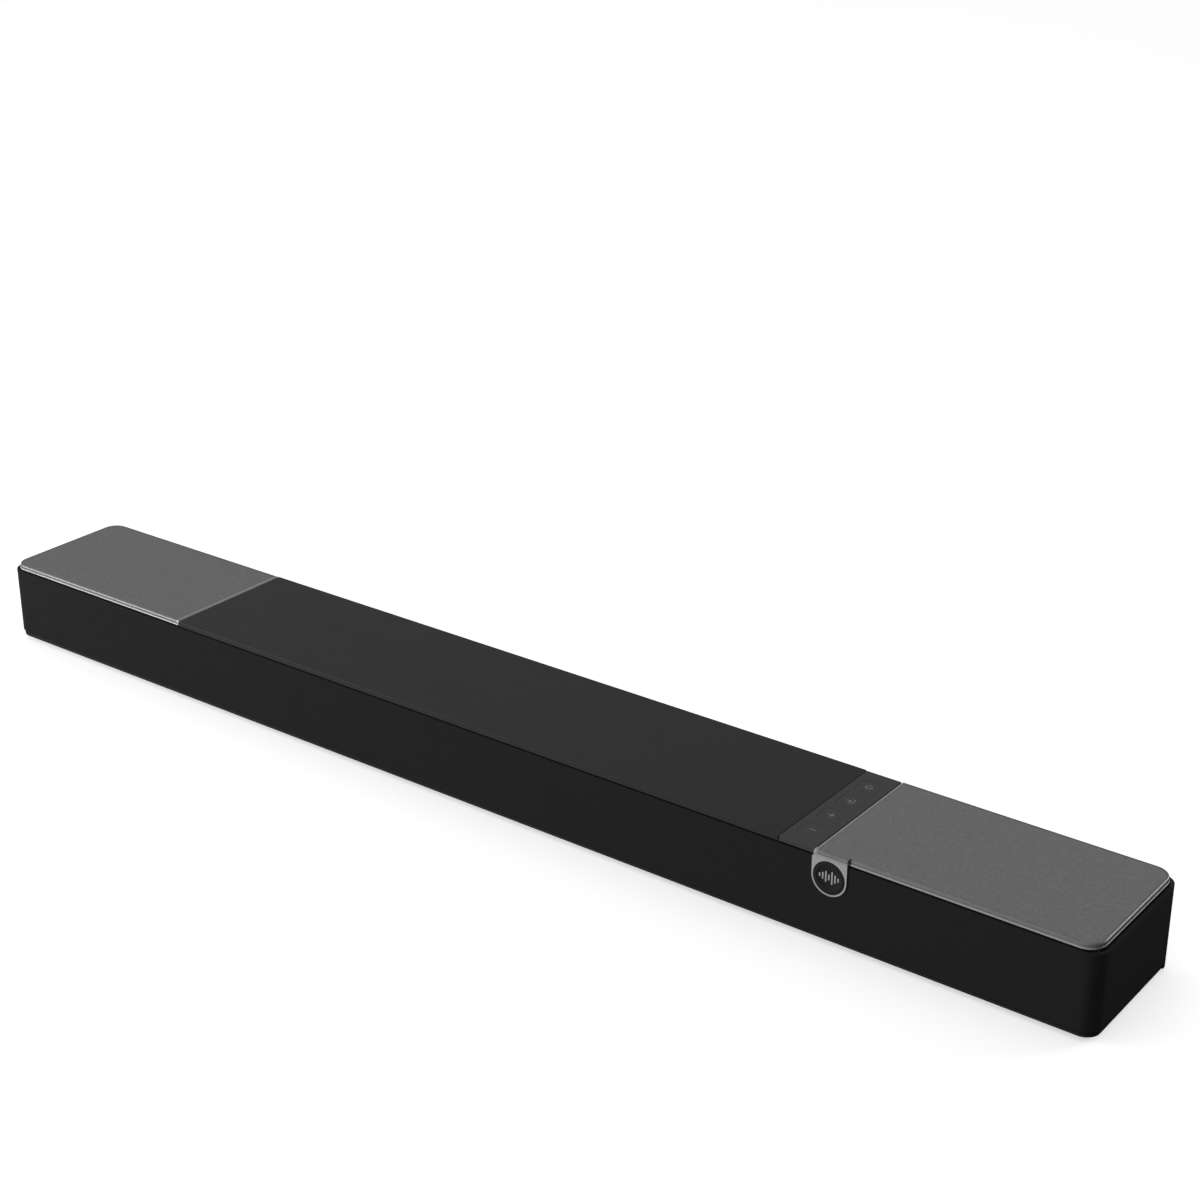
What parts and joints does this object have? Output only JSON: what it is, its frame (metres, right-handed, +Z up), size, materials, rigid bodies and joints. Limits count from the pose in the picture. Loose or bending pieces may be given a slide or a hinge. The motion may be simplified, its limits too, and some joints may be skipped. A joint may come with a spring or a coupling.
{
  "type": "soundbar",
  "caption": "Long low television soundbar with a black cloth front, dark centre lid, grey end covers over up-firing drivers, a button strip and a folded badge tab.",
  "frame": {"origin": "centre of the footprint, on the surface that the rubber feet stand on", "axes": "+X to the right-hand end as a listener sees it, -Y the front, +Z up"},
  "size_m": [1.118, 0.129, 0.078],
  "materials": {
    "shell": "fine moulded black plastic",
    "inner_shell": "plain moulded black plastic",
    "lid": "fine satin grain, near black",
    "control_strip": "satin dark grey",
    "cover_rim": "mid-grey metallic satin with bright bevels",
    "cover_mesh": "tightly stretched fine grey acoustic fabric",
    "grille_cloth": "black acoustic knit",
    "badge_metal": "brushed",
    "badge_face": "dark enamel",
    "key_caps": "satin dark grey",
    "rubber": "matt black",
    "driver_steel": "black painted pressed steel",
    "magnet": "zinc-plated iron and ferrite",
    "cone": "coated fibre",
    "surround": "soft rubber",
    "dome": "anodised",
    "horn": "smooth black",
    "circuit": "fibreglass board and components",
    "heatsink": "extruded",
    "socket_metal": "nickel plated",
    "socket_plastic": "black nylon",
    "wire": "PVC sheath",
    "foam": "open-cell foam",
    "brass": "turned",
    "screw": "black oxide"
  },
  "bodies": {
    "cabinet": {"amplifier_board": "circuit", "badge_disc": "badge_face", "badge_tab": "badge_metal", "base_tray": "shell", "board_screws": "screw", "button_board": "circuit", "case_screws": "screw", "centre_left_woofer_frame": "driver_steel", "centre_right_woofer_frame": "driver_steel", "control_panel": "control_strip", "damping_foam": "foam", "display_board": "circuit", "driver_screws": "screw", "front_baffle": "inner_shell", "front_left_foot": "rubber", "front_right_foot": "rubber", "grille_cloth": "grille_cloth", "grille_frame": "inner_shell", "hdmi_sockets": "socket_metal", "heatsink": "heatsink", "left_cover": "cover_rim", "left_cover_mesh": "cover_mesh", "left_upfire_box": "inner_shell", "left_upfire_frame": "driver_steel", "left_upfire_magnet": "magnet", "left_upfire_suspension": "surround", "left_woofer_frame": "driver_steel", "main_board": "circuit", "mains_inlet": "socket_plastic", "mount_inserts": "brass", "optical_socket": "socket_plastic", "power_board": "circuit", "rear_left_foot": "rubber", "rear_panel": "shell", "rear_right_foot": "rubber", "right_cover": "cover_rim", "right_cover_mesh": "cover_mesh", "right_upfire_box": "inner_shell", "right_upfire_frame": "driver_steel", "right_upfire_magnet": "magnet", "right_upfire_suspension": "surround", "right_woofer_frame": "driver_steel", "top_panel": "lid", "tweeter_horn": "horn", "tweeter_magnet": "magnet", "usb_socket": "socket_metal", "wiring_loom": "wire", "woofer_magnets": "magnet", "woofer_suspensions": "surround"},
    "power_button": {"power_button": "key_caps"},
    "source_button": {"source_button": "key_caps"},
    "volume_up_button": {"volume_up_button": "key_caps"},
    "volume_down_button": {"volume_down_button": "key_caps"},
    "left_woofer_cone": {"left_woofer_cone": "cone"},
    "centre_left_woofer_cone": {"centre_left_woofer_cone": "cone"},
    "centre_right_woofer_cone": {"centre_right_woofer_cone": "cone"},
    "right_woofer_cone": {"right_woofer_cone": "cone"},
    "left_upfire_cone": {"left_upfire_cone": "cone"},
    "right_upfire_cone": {"right_upfire_cone": "cone"},
    "tweeter_dome": {"tweeter_dome": "dome"}
  },
  "joints": [
    {"name": "power_button_press", "type": "slide", "parent": "cabinet", "child": "power_button", "axis": [0, 0, -1], "range_m": [0, 0.0008], "stiffness_N_per_m": 600, "springref_m": -0.0005},
    {"name": "source_button_press", "type": "slide", "parent": "cabinet", "child": "source_button", "axis": [0, 0, -1], "range_m": [0, 0.0008], "stiffness_N_per_m": 600, "springref_m": -0.0005},
    {"name": "volume_up_button_press", "type": "slide", "parent": "cabinet", "child": "volume_up_button", "axis": [0, 0, -1], "range_m": [0, 0.0008], "stiffness_N_per_m": 600, "springref_m": -0.0005},
    {"name": "volume_down_button_press", "type": "slide", "parent": "cabinet", "child": "volume_down_button", "axis": [0, 0, -1], "range_m": [0, 0.0008], "stiffness_N_per_m": 600, "springref_m": -0.0005},
    {"name": "left_woofer_stroke", "type": "slide", "parent": "cabinet", "child": "left_woofer_cone", "axis": [0, -1, 0], "range_m": [-0.0025, 0.0025], "stiffness_N_per_m": 900},
    {"name": "centre_left_woofer_stroke", "type": "slide", "parent": "cabinet", "child": "centre_left_woofer_cone", "axis": [0, -1, 0], "range_m": [-0.0025, 0.0025], "stiffness_N_per_m": 900},
    {"name": "centre_right_woofer_stroke", "type": "slide", "parent": "cabinet", "child": "centre_right_woofer_cone", "axis": [0, -1, 0], "range_m": [-0.0025, 0.0025], "stiffness_N_per_m": 900},
    {"name": "right_woofer_stroke", "type": "slide", "parent": "cabinet", "child": "right_woofer_cone", "axis": [0, -1, 0], "range_m": [-0.0025, 0.0025], "stiffness_N_per_m": 900},
    {"name": "left_upfire_stroke", "type": "slide", "parent": "cabinet", "child": "left_upfire_cone", "axis": [0, -0.2588, 0.9659], "range_m": [-0.003, 0.003], "stiffness_N_per_m": 1200},
    {"name": "right_upfire_stroke", "type": "slide", "parent": "cabinet", "child": "right_upfire_cone", "axis": [0, -0.2588, 0.9659], "range_m": [-0.003, 0.003], "stiffness_N_per_m": 1200},
    {"name": "tweeter_stroke", "type": "slide", "parent": "cabinet", "child": "tweeter_dome", "axis": [0, -1, 0], "range_m": [-0.0004, 0.0004], "stiffness_N_per_m": 1500}
  ]
}
